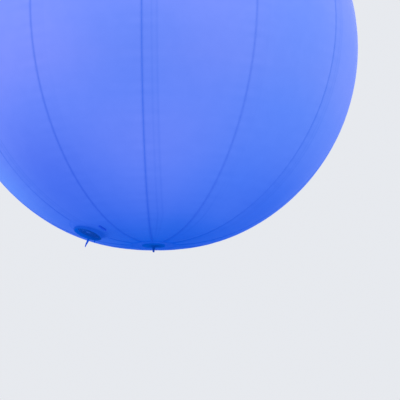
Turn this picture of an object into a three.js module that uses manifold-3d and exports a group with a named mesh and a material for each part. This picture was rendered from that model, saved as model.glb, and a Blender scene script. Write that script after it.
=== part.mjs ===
// A two-metre LED balloon: an inflated fabric sphere of twelve gores, lit from inside, hung by
// an eye on its crown and kept full by a small axial fan in a fabric port near its lower pole.
// Millimetres, +Z up. The origin is where the hook bears in the hanging eye.
// Longitudes are counted from -Y towards +X, and polar angles from the lower pole upwards.

import * as THREE from "three";
import { mergeVertices } from "three/addons/utils/BufferGeometryUtils.js";
import Module from "manifold-3d";

const wasm = await Module();
wasm.setup();

// Driving dimensions
const RADIUS = 1000; // outside, at the middle of a gore
const WALL = 10; // the envelope's shell
const GORES = 12;
const GAP = 0.3; // between pieces that touch
const POLE_DRAW = 20; // how far each pole is drawn in
const POLE_SPREAD = 13; // degrees over which the drawing-in fades
const GORE_BULGE = 1; // how far the middle of a gore stands out beyond its seams
const CAP_RADIUS = 110; // the round cloth cap over the ends of the gores
const SEAT_RADIUS = 62; // the flat middle of a cap
const PATCH_RADIUS = 55.5; // the dark patch on the lower cap
const PATCH_THICK = 3;
const LOOP_WIDTH = 16; // the webbing loop on the patch, outside
const LOOP_HEIGHT = 30;
const LOOP_DEPTH = 12; // the webbing's width
const LOOP_FOOT = 8; // each end's length along the patch
const WEBBING_THICK = 2.5;

const GORE_SPAN = 360 / GORES; // degrees
const GORE_COLUMNS = 4; // facets across a gore
const GORE_ROWS = 22; // facets along a gore
const ROUND = GORES * GORE_COLUMNS; // facets round a cap, in line with those of the gores
const POLE_RADIUS = RADIUS - POLE_DRAW;

const PLATE_RADIUS = 60; // the two plates that clamp the crown cap
const PLATE_THICK = 6;
const EYE_SHANK_R = 6;
const EYE_BAR_R = 5;
const EYE_RING_R = 22; // to the middle of the bar
const EYE_COLLAR_R = 14;
const EYE_COLLAR_THICK = 5;
const EYE_NECK = 3; // from the collar to the lowest point of the ring's bar
const NUT_ACROSS_CORNERS_R = 11;
const NUT_THICK = 10;
const STEM_R = 12;
const STEM_LENGTH = 300;
const LAMP_R = 80;
const LAMP_HEIGHT = 130;
const INLET_OFFSET = 38; // of the lamp lead's inlet from the eye

const PORT_LONGITUDE = -60; // on a seam
const PORT_POLAR = 20;
const PORT_HOLE_R = 95; // the hole in the gores
const FRAME_R = 60; // the fan's frame, outside
const FRAME_BORE_R = 53;
const FRAME_DEPTH = 25;
const STRUT_WIDTH = 5;
const STRUT_THICK = 4;
const MOTOR_R = 20;
const MOTOR_THICK = 5;
const MOUTH_HEIGHT = 4; // the fan's outer face over the envelope's surface
const HEM_R = 70;
const HEM_BORE_R = 56;
const HEM_HEIGHT = 12;
const ROTOR_R = 48;
const HUB_R = 19;
const BLADES = 7;
const MOVING_GAP = 5; // between the rotor and what stands still
const SHAFT_R = 2.5;
const SHAFT_SUNK = 4; // how far the shaft reaches into the motor
const BLADE_THICK = 2;
const GUARD_THICK = 2.4;
const GUARD_DISC_R = 12;

const GLAND_LONGITUDE = -41;
const GLAND_POLAR = 19.9;
const GLAND_LENGTH = 51; // along the meridian
const GLAND_WIDTH = 16;
const GLAND_HEIGHT = 5;
const GLAND_NECK_LENGTH = 41; // where it passes through the cloth
const GLAND_NECK_WIDTH = 8;

// Webbing tabs on the hem: where they stand round it from the parallel, and their centre lines
// as [towards the west, out of the port] pairs
const TABS = [
  { name: "pull_tab", turn: 210, width: 11, route: [[0, 0], [0, 7], [2, 14], [6, 22], [8, 30], [8, 41]] },
  { name: "short_tab", turn: 240, width: 6, route: [[0, 0], [0.5, 5], [0.5, 9], [0, 13]] },
];
const TAB_THICK = 2;

// Heights over the middle of the balloon
const PLATE_BASE = POLE_RADIUS + GAP;
const PLATE_TOP = PLATE_BASE + PLATE_THICK;
const EYE_BASE = PLATE_TOP + GAP;
const EYE_MIDDLE = EYE_BASE + EYE_COLLAR_THICK + EYE_NECK + EYE_BAR_R + EYE_RING_R;
const HOOK_HEIGHT = EYE_MIDDLE + EYE_RING_R - EYE_BAR_R;
const CLAMP_TOP = POLE_RADIUS - WALL - GAP;
const NUT_TOP = CLAMP_TOP - PLATE_THICK - GAP;
const STEM_TOP = NUT_TOP - NUT_THICK - GAP;
const LAMP_TOP = STEM_TOP - STEM_LENGTH - GAP;

const { degToRad } = THREE.MathUtils;
const CAP_ANGLE = THREE.MathUtils.radToDeg(Math.asin(CAP_RADIUS / RADIUS));

// Finishes, with colour, roughness and metalness
const finish = (color, roughness, metalness = 0) => ({ color, roughness, metalness });
const FABRIC = finish(0x5f7bf5, 0.6);
const CAP_FABRIC = finish(0x4c68e2, 0.6);
const DARK_WEBBING = finish(0x0c2a78, 0.85);
const DARK_HEM = finish(0x0f3f9c, 0.7);
const DARK_PLASTIC = finish(0x0a1638, 0.5);
const GLAND_PLASTIC = finish(0x1c3c8c, 0.5);
const STEEL = finish(0xb9bcc2, 0.3, 1);
const ALUMINIUM = finish(0x9da1a8, 0.45, 1);
const LAMP_WHITE = finish(0xdfe4f2, 0.5);

// Solids

function toSolid(geometry) {
  const bare = geometry.clone();
  bare.deleteAttribute("normal");
  bare.deleteAttribute("uv");
  const merged = mergeVertices(bare, 1e-4);
  return new wasm.Manifold(new wasm.Mesh({
    numProp: 3,
    vertProperties: new Float32Array(merged.attributes.position.array),
    triVerts: new Uint32Array(merged.index.array),
  }));
}

function toGeometry(solid) {
  const mesh = solid.getMesh();
  const geometry = new THREE.BufferGeometry();
  geometry.setAttribute("position", new THREE.BufferAttribute(mesh.vertProperties, 3));
  geometry.setIndex(new THREE.BufferAttribute(mesh.triVerts, 1));
  return geometry;
}

const join = (...geometries) => toGeometry(geometries.map(toSolid).reduce((a, b) => a.add(b)));
const cut = (geometry, ...tools) =>
  toGeometry(tools.map(toSolid).reduce((rest, tool) => rest.subtract(tool), toSolid(geometry)));

// A turned piece about Z from [radius, height] pairs that climb outside and close on themselves
function turned(profile, segments = 32) {
  const points = profile.map(([r, z]) => new THREE.Vector2(r, z));
  const closed = points[0].x > 0 ? [...points, points[0].clone()] : points;
  return new THREE.LatheGeometry(closed, segments).rotateX(Math.PI / 2);
}

const ring = (inner, outer, low, high, segments) =>
  turned([[inner, low], [outer, low], [outer, high], [inner, high]], segments);

// The direction from the middle of the balloon, from degrees
function direction(longitude, polar) {
  const around = degToRad(longitude - 90);
  const up = degToRad(polar);
  return new THREE.Vector3(
    Math.sin(up) * Math.cos(around), Math.sin(up) * Math.sin(around), -Math.cos(up),
  );
}

// How far the cloth's outer surface lies from the middle of the balloon
function skinRadius(polar, across) {
  const fromPole = Math.min(polar, 180 - polar);
  const drawn = POLE_DRAW * Math.exp(-((fromPole / POLE_SPREAD) ** 2));
  return RADIUS - drawn - GORE_BULGE * across ** 2 * Math.sin(degToRad(polar));
}

// One gore as a closed shell, from the lower cap's edge to the crown cap's edge
function goreGeometry(start) {
  const positions = [];
  const end = CAP_ANGLE + THREE.MathUtils.radToDeg(GAP / RADIUS);
  const rowCount = GORE_ROWS + 1;
  const layer = (GORE_COLUMNS + 1) * rowCount;
  for (const depth of [0, WALL]) {
    for (let column = 0; column <= GORE_COLUMNS; column++) {
      const share = column / GORE_COLUMNS;
      const longitude = start + share * GORE_SPAN;
      const sideways = direction(longitude + 90, 90);
      const inset = share === 0 ? GAP / 2 : share === 1 ? -GAP / 2 : 0;
      for (let row = 0; row <= GORE_ROWS; row++) {
        const polar = end + (180 - 2 * end) * row / GORE_ROWS;
        const point = direction(longitude, polar)
          .multiplyScalar(skinRadius(polar, 2 * share - 1) - depth)
          .addScaledVector(sideways, inset);
        positions.push(point.x, point.y, point.z);
      }
    }
  }
  const at = (inside, column, row) => inside * layer + column * rowCount + row;
  const faces = [];
  const quad = (a, b, c, d) => faces.push(a, b, c, a, c, d);
  for (let c = 0; c < GORE_COLUMNS; c++) {
    for (let r = 0; r < GORE_ROWS; r++) {
      quad(at(0, c, r), at(0, c + 1, r), at(0, c + 1, r + 1), at(0, c, r + 1));
      quad(at(1, c, r), at(1, c, r + 1), at(1, c + 1, r + 1), at(1, c + 1, r));
    }
    quad(at(0, c, 0), at(1, c, 0), at(1, c + 1, 0), at(0, c + 1, 0));
    quad(at(0, c, GORE_ROWS), at(0, c + 1, GORE_ROWS), at(1, c + 1, GORE_ROWS), at(1, c, GORE_ROWS));
  }
  for (let r = 0; r < GORE_ROWS; r++) {
    quad(at(0, 0, r), at(0, 0, r + 1), at(1, 0, r + 1), at(1, 0, r));
    quad(at(0, GORE_COLUMNS, r), at(1, GORE_COLUMNS, r),
      at(1, GORE_COLUMNS, r + 1), at(0, GORE_COLUMNS, r + 1));
  }
  const geometry = new THREE.BufferGeometry();
  geometry.setAttribute("position", new THREE.Float32BufferAttribute(positions, 3));
  geometry.setIndex(faces);
  return geometry;
}

// A cloth cap about Z with its outside up, flat in the middle, with or without a bore
function capGeometry(bore) {
  const edge = direction(0, CAP_ANGLE);
  const spoke = Math.hypot(edge.x, edge.y);
  const outer = skinRadius(CAP_ANGLE, 0);
  const rim = (radius) => [spoke * radius, -edge.z * radius];
  return turned([
    [bore, POLE_RADIUS - WALL],
    [SEAT_RADIUS, POLE_RADIUS - WALL],
    rim(outer - WALL),
    rim(outer),
    [SEAT_RADIUS, POLE_RADIUS],
    [bore, POLE_RADIUS],
  ], ROUND);
}

// A fitting's own frame on the cloth: X runs along the parallel, Y up the meridian and Z outwards
function fittingFrame(longitude, polar) {
  const outwards = direction(longitude, polar);
  const east = direction(longitude + 90, 90);
  const north = outwards.clone().cross(east);
  return new THREE.Matrix4().makeBasis(east, north, outwards)
    .setPosition(outwards.clone().multiplyScalar(RADIUS));
}
const portFrame = fittingFrame(PORT_LONGITUDE, PORT_POLAR);
const glandFrame = fittingFrame(GLAND_LONGITUDE, GLAND_POLAR);

const portHole = new THREE.CylinderGeometry(PORT_HOLE_R + GAP, PORT_HOLE_R + GAP, 6 * WALL, 48)
  .rotateX(Math.PI / 2)
  .applyMatrix4(portFrame);

// How far the surface falls away from the plane that touches it at the port's middle
const fall = (radius) => RADIUS - Math.sqrt(RADIUS ** 2 - radius ** 2);

// The cloth boot from the hole's edge up to the hem, with the fan's seat inside
function bootGeometry() {
  const base = -fall(PORT_HOLE_R) - GORE_BULGE * Math.sin(degToRad(PORT_POLAR));
  const seat = FRAME_R + GAP;
  return turned([
    [PORT_HOLE_R, base - WALL],
    [PORT_HOLE_R, base],
    [82, base + 2],
    [72, base + 5.5],
    [66, MOUTH_HEIGHT],
    [seat, MOUTH_HEIGHT],
    [seat, base - WALL],
    [72, base - WALL - 2],
  ], 48);
}

// The dark hem that stiffens the boot's mouth
function hemGeometry() {
  const low = MOUTH_HEIGHT + GAP;
  const high = low + HEM_HEIGHT;
  return turned([
    [HEM_BORE_R, low],
    [HEM_R - 2, low],
    [HEM_R, low + 2],
    [HEM_R, high - 3],
    [HEM_R - 3, high],
    [HEM_BORE_R + 2, high],
    [HEM_BORE_R, high - 2],
  ], 48);
}

const FRAME_LOW = MOUTH_HEIGHT - FRAME_DEPTH;
const MOTOR_TOP = FRAME_LOW + MOTOR_THICK;
const ROTOR_LOW = MOTOR_TOP + MOVING_GAP;
const ROTOR_HIGH = MOUTH_HEIGHT - MOVING_GAP;

// The fan's moulded frame: the ring, four struts and the motor's seat in one
function frameGeometry() {
  const reach = (FRAME_BORE_R + FRAME_R) / 2;
  const strut = new THREE.BoxGeometry(reach, STRUT_WIDTH, STRUT_THICK)
    .translate(reach / 2, 0, FRAME_LOW + STRUT_THICK / 2);
  const struts = [45, 135, 225, 315].map((turn) => strut.clone().rotateZ(degToRad(turn)));
  const seat = turned([[0, FRAME_LOW], [MOTOR_R, FRAME_LOW], [MOTOR_R, MOTOR_TOP], [0, MOTOR_TOP]]);
  const body = join(ring(FRAME_BORE_R, FRAME_R, FRAME_LOW, MOUTH_HEIGHT, 48), seat, ...struts);
  const bore = new THREE.CylinderGeometry(SHAFT_R + GAP, SHAFT_R + GAP, 4 * MOTOR_THICK, 16)
    .rotateX(Math.PI / 2)
    .translate(0, 0, MOTOR_TOP);
  return cut(body, bore);
}

// One blade, a thin plate that loses pitch from the hub to the tip
function bladeGeometry() {
  const stations = 5;
  const positions = [];
  const rise = (ROTOR_HIGH - ROTOR_LOW) / 2 - 1;
  const middle = (ROTOR_HIGH + ROTOR_LOW) / 2;
  for (let s = 0; s < stations; s++) {
    const share = s / (stations - 1);
    const radius = HUB_R - 3 + (ROTOR_R - HUB_R + 3) * share;
    const half = 9 + 9 * share; // half of the chord seen along the axis
    for (const [side, lift] of [[-1, 0], [1, 0], [1, 1], [-1, 1]]) {
      const angle = side * half / radius;
      const height = middle + side * rise * (1 - 0.35 * share) + (lift - 0.5) * BLADE_THICK;
      positions.push(radius * Math.cos(angle), radius * Math.sin(angle), height);
    }
  }
  const faces = [0, 2, 1, 0, 3, 2];
  for (let s = 0; s < stations - 1; s++) {
    for (let k = 0; k < 4; k++) {
      const [a, b] = [4 * s + k, 4 * s + (k + 1) % 4];
      faces.push(a, b, b + 4, a, b + 4, a + 4);
    }
  }
  const last = 4 * (stations - 1);
  faces.push(last, last + 1, last + 2, last, last + 2, last + 3);
  const geometry = new THREE.BufferGeometry();
  geometry.setAttribute("position", new THREE.Float32BufferAttribute(positions, 3));
  geometry.setIndex(faces);
  return geometry;
}

function rotorGeometry() {
  const shaftLow = MOTOR_TOP - SHAFT_SUNK;
  const hub = turned([
    [0, shaftLow], [SHAFT_R, shaftLow], [SHAFT_R, ROTOR_LOW], [HUB_R, ROTOR_LOW],
    [HUB_R, ROTOR_HIGH - 2], [HUB_R - 2, ROTOR_HIGH], [0, ROTOR_HIGH],
  ]);
  const blades = [];
  for (let k = 0; k < BLADES; k++) {
    blades.push(bladeGeometry().rotateZ(2 * Math.PI * k / BLADES));
  }
  return join(hub, ...blades);
}

// The finger guard on the fan's outer face: rings, two bars and a middle disc
function guardGeometry() {
  const low = MOUTH_HEIGHT + GAP;
  const high = low + GUARD_THICK;
  const outer = HEM_BORE_R - GAP;
  const rings = [[51.5, outer], [37.5, 40], [24, 26.5]].map(([a, b]) => ring(a, b, low, high, 48));
  const disc = turned([[0, low], [GUARD_DISC_R, low], [GUARD_DISC_R, high], [0, high]], 24);
  const bar = new THREE.BoxGeometry(2 * outer - 4, GUARD_THICK, GUARD_THICK)
    .translate(0, 0, (low + high) / 2);
  return join(...rings, disc, bar, bar.clone().rotateZ(Math.PI / 2));
}

// A flat tab of webbing that stands on the hem and curls towards the west
function tabGeometry({ width, route }) {
  const middle = new THREE.SplineCurve(route.map(([x, y]) => new THREE.Vector2(x, y)));
  const steps = 10;
  const edge = (side) => middle.getPoints(steps).map((point, k) => {
    const along = k === 0 ? new THREE.Vector2(0, 1) : middle.getTangent(k / steps);
    return new THREE.Vector2(along.y, -along.x).multiplyScalar(side * TAB_THICK / 2).add(point);
  });
  const outline = new THREE.Shape([...edge(1), ...edge(-1).reverse()]);
  return new THREE.ExtrudeGeometry(outline, { depth: width, bevelEnabled: false })
    .translate(0, 0, -width / 2)
    .rotateX(Math.PI / 2)
    .rotateZ(Math.PI);
}

// A round-ended bar along Y, from one height to another
function oblongGeometry(length, width, low, high) {
  const r = width / 2;
  const straight = length / 2 - r;
  const outline = new THREE.Shape();
  outline.absarc(0, straight, r, 0, Math.PI);
  outline.absarc(0, -straight, r, Math.PI, 2 * Math.PI);
  return new THREE.ExtrudeGeometry(outline, { depth: high - low, bevelEnabled: false, curveSegments: 8 })
    .translate(0, 0, low);
}

// The lead's gland: a low flange outside the cloth and a neck that passes through it
function glandGeometry() {
  const flange = oblongGeometry(GLAND_LENGTH, GLAND_WIDTH, GAP, GLAND_HEIGHT);
  const neck = oblongGeometry(GLAND_NECK_LENGTH, GLAND_NECK_WIDTH, -WALL - 8, GLAND_HEIGHT / 2);
  return join(flange, neck);
}
const glandHole = oblongGeometry(
  GLAND_NECK_LENGTH + 2 * GAP, GLAND_NECK_WIDTH + 2 * GAP, -3 * WALL, 2 * WALL,
).applyMatrix4(glandFrame);

// The small loop of webbing under the lower patch, open along X, its ends turned out and sewn down
function loopGeometry() {
  const outer = LOOP_WIDTH / 2;
  const inner = outer - WEBBING_THICK;
  const foot = outer + LOOP_FOOT;
  const arch = LOOP_HEIGHT - outer;
  const strap = new THREE.Shape();
  strap.moveTo(-foot, 0);
  strap.lineTo(-inner, 0);
  strap.lineTo(-inner, arch);
  strap.absarc(0, arch, inner, Math.PI, 0, true);
  strap.lineTo(inner, 0);
  strap.lineTo(foot, 0);
  strap.lineTo(foot, WEBBING_THICK);
  strap.lineTo(outer, WEBBING_THICK);
  strap.lineTo(outer, arch);
  strap.absarc(0, arch, outer, 0, Math.PI, false);
  strap.lineTo(-outer, WEBBING_THICK);
  strap.lineTo(-foot, WEBBING_THICK);
  return new THREE.ExtrudeGeometry(strap, { depth: LOOP_DEPTH, bevelEnabled: false, curveSegments: 10 })
    .translate(0, 0, -LOOP_DEPTH / 2)
    .rotateX(-Math.PI / 2)
    .rotateZ(Math.PI / 2);
}

// The eye bolt: its ring stands across X, its shank runs down through the crown
function eyeGeometry() {
  const eye = new THREE.TorusGeometry(EYE_RING_R, EYE_BAR_R, 12, 32)
    .rotateX(Math.PI / 2)
    .translate(0, 0, EYE_MIDDLE);
  const low = STEM_TOP - 14;
  const shank = turned([
    [0, low], [EYE_SHANK_R, low], [EYE_SHANK_R, EYE_BASE], [EYE_COLLAR_R, EYE_BASE],
    [EYE_COLLAR_R, EYE_BASE + EYE_COLLAR_THICK],
    [EYE_SHANK_R + 1, EYE_BASE + EYE_COLLAR_THICK + EYE_NECK + EYE_BAR_R],
    [0, EYE_BASE + EYE_COLLAR_THICK + EYE_NECK + EYE_BAR_R],
  ]);
  return join(eye, shank);
}

function nutGeometry() {
  const hexagon = new THREE.Shape();
  for (let k = 0; k < 6; k++) {
    const angle = k * Math.PI / 3;
    hexagon[k ? "lineTo" : "moveTo"](
      NUT_ACROSS_CORNERS_R * Math.cos(angle), NUT_ACROSS_CORNERS_R * Math.sin(angle));
  }
  hexagon.holes.push(new THREE.Path().absarc(0, 0, EYE_SHANK_R + GAP, 0, 2 * Math.PI));
  return new THREE.ExtrudeGeometry(hexagon, { depth: NUT_THICK, bevelEnabled: false, curveSegments: 12 })
    .translate(0, 0, NUT_TOP - NUT_THICK);
}

// The assembly, in the balloon's own frame with its middle at zero, hung under the origin

const balloon = new THREE.Group();
balloon.position.z = -HOOK_HEIGHT;

function fittingGroup(frame) {
  const group = new THREE.Group();
  frame.decompose(group.position, group.quaternion, group.scale);
  balloon.add(group);
  return group;
}
const port = fittingGroup(portFrame);
const gland = fittingGroup(glandFrame);

function add(group, name, geometry, look) {
  const mesh = new THREE.Mesh(geometry, new THREE.MeshStandardMaterial(look));
  mesh.name = name;
  group.add(mesh);
  return mesh;
}

for (let k = 0; k < GORES; k++) {
  const start = k * GORE_SPAN - 360;
  const holes = [];
  if (PORT_LONGITUDE === start || PORT_LONGITUDE === start + GORE_SPAN) {
    holes.push(portHole);
  }
  if (GLAND_LONGITUDE > start && GLAND_LONGITUDE < start + GORE_SPAN) {
    holes.push(glandHole);
  }
  const gore = goreGeometry(start);
  add(balloon, `gore_${String(k + 1).padStart(2, "0")}`, holes.length ? cut(gore, ...holes) : gore, FABRIC);
}
const BORE = EYE_SHANK_R + GAP;
add(balloon, "crown_cap", capGeometry(BORE), CAP_FABRIC);
add(balloon, "lower_cap", capGeometry(0).rotateX(Math.PI), CAP_FABRIC);

add(balloon, "crown_plate", ring(BORE, PLATE_RADIUS, PLATE_BASE, PLATE_TOP, 48), ALUMINIUM);
add(balloon, "clamp_plate", ring(BORE, PLATE_RADIUS, CLAMP_TOP - PLATE_THICK, CLAMP_TOP, 48), ALUMINIUM);
add(balloon, "hanging_eye", eyeGeometry(), STEEL);
add(balloon, "eye_nut", nutGeometry(), STEEL);
add(balloon, "lamp_stem", ring(BORE, STEM_R, STEM_TOP - STEM_LENGTH, STEM_TOP, 24), ALUMINIUM);
add(balloon, "lamp_unit",
  turned([[0, LAMP_TOP - LAMP_HEIGHT], [LAMP_R, LAMP_TOP - LAMP_HEIGHT], [LAMP_R, LAMP_TOP], [0, LAMP_TOP]]),
  LAMP_WHITE);
const inlet = add(balloon, "lead_inlet",
  turned([[0, 0], [13, 0], [13, 8], [10, 10], [10, 20], [6, 26], [0, 26]], 24), DARK_PLASTIC);
inlet.position.set(0, INLET_OFFSET, PLATE_TOP + GAP);

const patchTop = -POLE_RADIUS - GAP;
add(balloon, "lower_patch",
  turned([[0, patchTop - PATCH_THICK], [PATCH_RADIUS, patchTop - PATCH_THICK], [PATCH_RADIUS, patchTop],
    [0, patchTop]], ROUND), DARK_WEBBING);
const loop = add(balloon, "lower_loop", loopGeometry(), DARK_WEBBING);
loop.position.z = patchTop - PATCH_THICK - GAP;

add(port, "fan_boot", bootGeometry(), FABRIC);
add(port, "mouth_hem", hemGeometry(), DARK_HEM);
add(port, "fan_frame", frameGeometry(), DARK_PLASTIC);
add(port, "fan_rotor", rotorGeometry(), DARK_PLASTIC);
add(port, "fan_guard", guardGeometry(), DARK_PLASTIC);
for (const tab of TABS) {
  const turn = degToRad(tab.turn);
  const root = HEM_R - 5;
  add(port, tab.name, tabGeometry(tab), DARK_WEBBING).position
    .set(root * Math.cos(turn), root * Math.sin(turn), MOUTH_HEIGHT + HEM_HEIGHT + 2 * GAP);
}
add(gland, "lead_gland", glandGeometry(), GLAND_PLASTIC);

export default balloon;
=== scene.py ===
import math
from contextlib import contextmanager

import bmesh
import bpy
from bpy.props import FloatProperty, FloatVectorProperty, IntProperty, PointerProperty
from mathutils import Matrix, Vector


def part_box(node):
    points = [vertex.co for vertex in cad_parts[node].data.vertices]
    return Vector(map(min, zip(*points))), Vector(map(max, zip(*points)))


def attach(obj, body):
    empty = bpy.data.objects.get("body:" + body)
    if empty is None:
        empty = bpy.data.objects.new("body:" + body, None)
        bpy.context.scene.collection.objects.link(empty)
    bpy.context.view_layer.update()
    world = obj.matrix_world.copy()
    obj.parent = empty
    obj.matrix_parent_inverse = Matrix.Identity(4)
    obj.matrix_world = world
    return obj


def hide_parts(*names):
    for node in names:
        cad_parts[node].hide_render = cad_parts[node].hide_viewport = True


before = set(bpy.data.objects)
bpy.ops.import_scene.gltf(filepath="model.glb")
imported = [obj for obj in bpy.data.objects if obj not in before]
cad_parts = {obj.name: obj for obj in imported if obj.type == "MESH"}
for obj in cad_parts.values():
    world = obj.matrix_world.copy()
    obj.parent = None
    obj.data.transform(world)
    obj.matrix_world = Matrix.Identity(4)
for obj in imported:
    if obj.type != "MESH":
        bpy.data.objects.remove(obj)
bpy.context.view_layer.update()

bl_info = {
    "name": "Hanging LED Balloon",
    "version": (1, 0, 0),
    "blender": (4, 5, 0),
    "location": "View3D > Sidebar > Balloon",
    "description": "Sews and dresses an inflated, inwardly lit balloon with a fan port",
    "category": "Add Mesh",
}

MM = 0.001
TURN = 2 * math.pi

# The envelope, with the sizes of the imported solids: longitudes run from -Y towards +X and polar
# angles from the lower pole upwards, both in degrees
GORE_NODES = sorted(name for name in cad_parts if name.startswith("gore_"))
GORES = len(GORE_NODES)
GORE_SPAN = 360 / GORES
GORE_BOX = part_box(GORE_NODES[0])
MIDDLE = Vector((0, 0, (GORE_BOX[0].z + GORE_BOX[1].z) / 2))
RADIUS = 1000 * MM
POLE_DRAW = 20 * MM
POLE_SPREAD = 13  # degrees
GORE_BULGE = 1 * MM
PUCKER_PITCHES = (47 * MM, 71 * MM)
PUCKER_SWELL = 410 * MM
CAP_RADIUS = 110 * MM
CAP_ANGLE = math.degrees(math.asin(CAP_RADIUS / RADIUS))
POLE_HEIGHT = RADIUS - POLE_DRAW

# The fan port, with heights counted outwards from the sphere
PORT_LONGITUDE = -60
PORT_POLAR = 20
PORT_HOLE_R = 95 * MM
MOUTH_HEIGHT = 4 * MM
HEM_R = 70 * MM
HEM_BORE_R = 56 * MM
HEM_LOW = 4.3 * MM
HEM_HIGH = 16.3 * MM
FRAME_R = 60 * MM
FRAME_BORE_R = 53 * MM
FRAME_LOW = -21 * MM
MOTOR_R = 20 * MM
MOTOR_TOP = -16 * MM
ROTOR_LOW = -11 * MM
ROTOR_HIGH = -1 * MM
HUB_R = 19 * MM
BLADES = 7

# The gland of the fan's lead
GLAND_LONGITUDE = -41
GLAND_POLAR = 19.9

# Where the lamp's light falls unevenly on the cloth: longitude and polar angle, reach in radii,
# and the share of the red, green and blue that comes through there. A program fitted the first
# eight rows to the photo, and they were then rounded and changed a little. The next four were
# set one by one, and the last three, on the far side, are guessed
LIGHT_SPOTS = (
    (-5, 52, 0.70, (1.50, 1.20, 1.05)),
    (0, 72, 0.43, (0.50, 0.76, 0.92)),
    (-40, 42, 0.30, (0.70, 0.77, 0.93)),
    (-78, 45, 0.24, (1.07, 1.30, 1.07)),
    (65, 67, 0.70, (0.76, 0.99, 0.97)),
    (75, 35, 0.28, (0.52, 0.75, 0.93)),
    (95, 14, 0.30, (0.35, 0.82, 0.95)),
    (50, 25, 0.15, (1.50, 1.18, 1.04)),
    (-69, 27, 0.11, (0.84, 0.97, 1.00)),
    # These two rows paint the shadow of the port on the cloth just east of it
    (-42, 16, 0.10, (0.55, 0.85, 0.92)),
    (-50, 15.5, 0.08, (0.45, 0.74, 0.83)),
    (18, 18, 0.10, (0.72, 0.95, 0.95)),
    (145, 50, 0.65, (1.40, 1.18, 1.04)),
    (175, 75, 0.40, (0.60, 0.80, 0.94)),
    (-150, 60, 0.40, (0.72, 0.85, 0.96)),
)


def direction(longitude, polar):
    """The direction from the middle of the balloon."""
    around, up = math.radians(longitude), math.radians(polar)
    wide = math.sin(up)
    return Vector((wide * math.sin(around), -wide * math.cos(around), -math.cos(up)))


def bearings(spot):
    """Longitude and polar angle of a direction."""
    return (math.degrees(math.atan2(spot.x, -spot.y)),
            math.degrees(math.atan2(math.hypot(spot.x, spot.y), -spot.z)))


def skin_radius(polar, across):
    """How far the bare cloth lies from the middle; across runs from -1 to 1 over a gore."""
    from_pole = min(polar, 180 - polar)
    drawn = POLE_DRAW * math.exp(-(from_pole / POLE_SPREAD) ** 2)
    return RADIUS - drawn - GORE_BULGE * across ** 2 * math.sin(math.radians(polar))


def fitting_place(longitude, polar):
    """A fitting's own frame on the cloth: X along the parallel, Y up the meridian, Z outwards."""
    outwards = direction(longitude, polar)
    east = direction(longitude + 90, 90)
    place = Matrix((east, outwards.cross(east), outwards)).transposed().to_4x4()
    place.translation = MIDDLE + outwards * RADIUS
    return place


PORT = fitting_place(PORT_LONGITUDE, PORT_POLAR)
GLAND = fitting_place(GLAND_LONGITUDE, GLAND_POLAR)
PORT_WEST, PORT_EAST = (PORT.translation.x + side * HEM_R * 0.8 for side in (-1, 1))


def across_gore(longitude):
    """The nearest seam's number and where a longitude lies across its gore, from -1 to 1."""
    share = longitude / GORE_SPAN
    return round(share) % GORES, 2 * (share - math.floor(share)) - 1


def pucker(seam, arc):
    """The gathering along a seam, from -1 to 1, at an arc length from the lower pole."""
    short, long = (TURN * arc / pitch for pitch in PUCKER_PITCHES)
    fine = math.sin(short + 1.7 * seam) + math.sin(long + 2.9 * seam)
    return 0.5 * fine * (0.65 + 0.35 * math.sin(TURN * arc / PUCKER_SWELL + seam))


def sewn_radius(longitude, polar, look):
    """How far the sewn cloth lies from the middle, with the seam's valley and its puckers."""
    seam, across = across_gore(longitude)
    width = RADIUS * math.sin(math.radians(polar)) * math.radians(GORE_SPAN)
    off = (1 - abs(across)) / 2 * width
    arc = RADIUS * math.radians(polar)
    valley = look.valley_depth * math.exp(-(off / look.valley_width) ** 2)
    ripple = look.pucker_depth * math.exp(-off / look.pucker_reach) * pucker(seam, arc)
    from_cap = RADIUS * math.radians(min(polar, 180 - polar) - CAP_ANGLE)
    turn = math.radians(longitude * look.gathers)
    gather = look.gather_depth * math.exp(-from_cap / look.gather_reach) * math.cos(turn)
    return skin_radius(polar, across) - valley + ripple + gather


def port_skin(x, y, out):
    """The point on the bare cloth under (x, y) of the port's own frame, in that frame."""
    spot = Vector((x, y, RADIUS))
    longitude, polar = bearings(PORT.to_3x3() @ spot)
    across = across_gore(longitude)[1]
    return spot.normalized() * (skin_radius(polar, across) + out) - Vector((0, 0, RADIUS))


# Settings


def colour_setting(name, description, default):
    """A colour that the user may change."""
    return FloatVectorProperty(name=name, description=description, subtype="COLOR", size=3,
                               min=0, max=1, default=default)


def length_setting(name, description, default, **limits):
    """A length that the user may change."""
    return FloatProperty(name=name, description=description, default=default, unit="LENGTH",
                         **limits)


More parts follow.
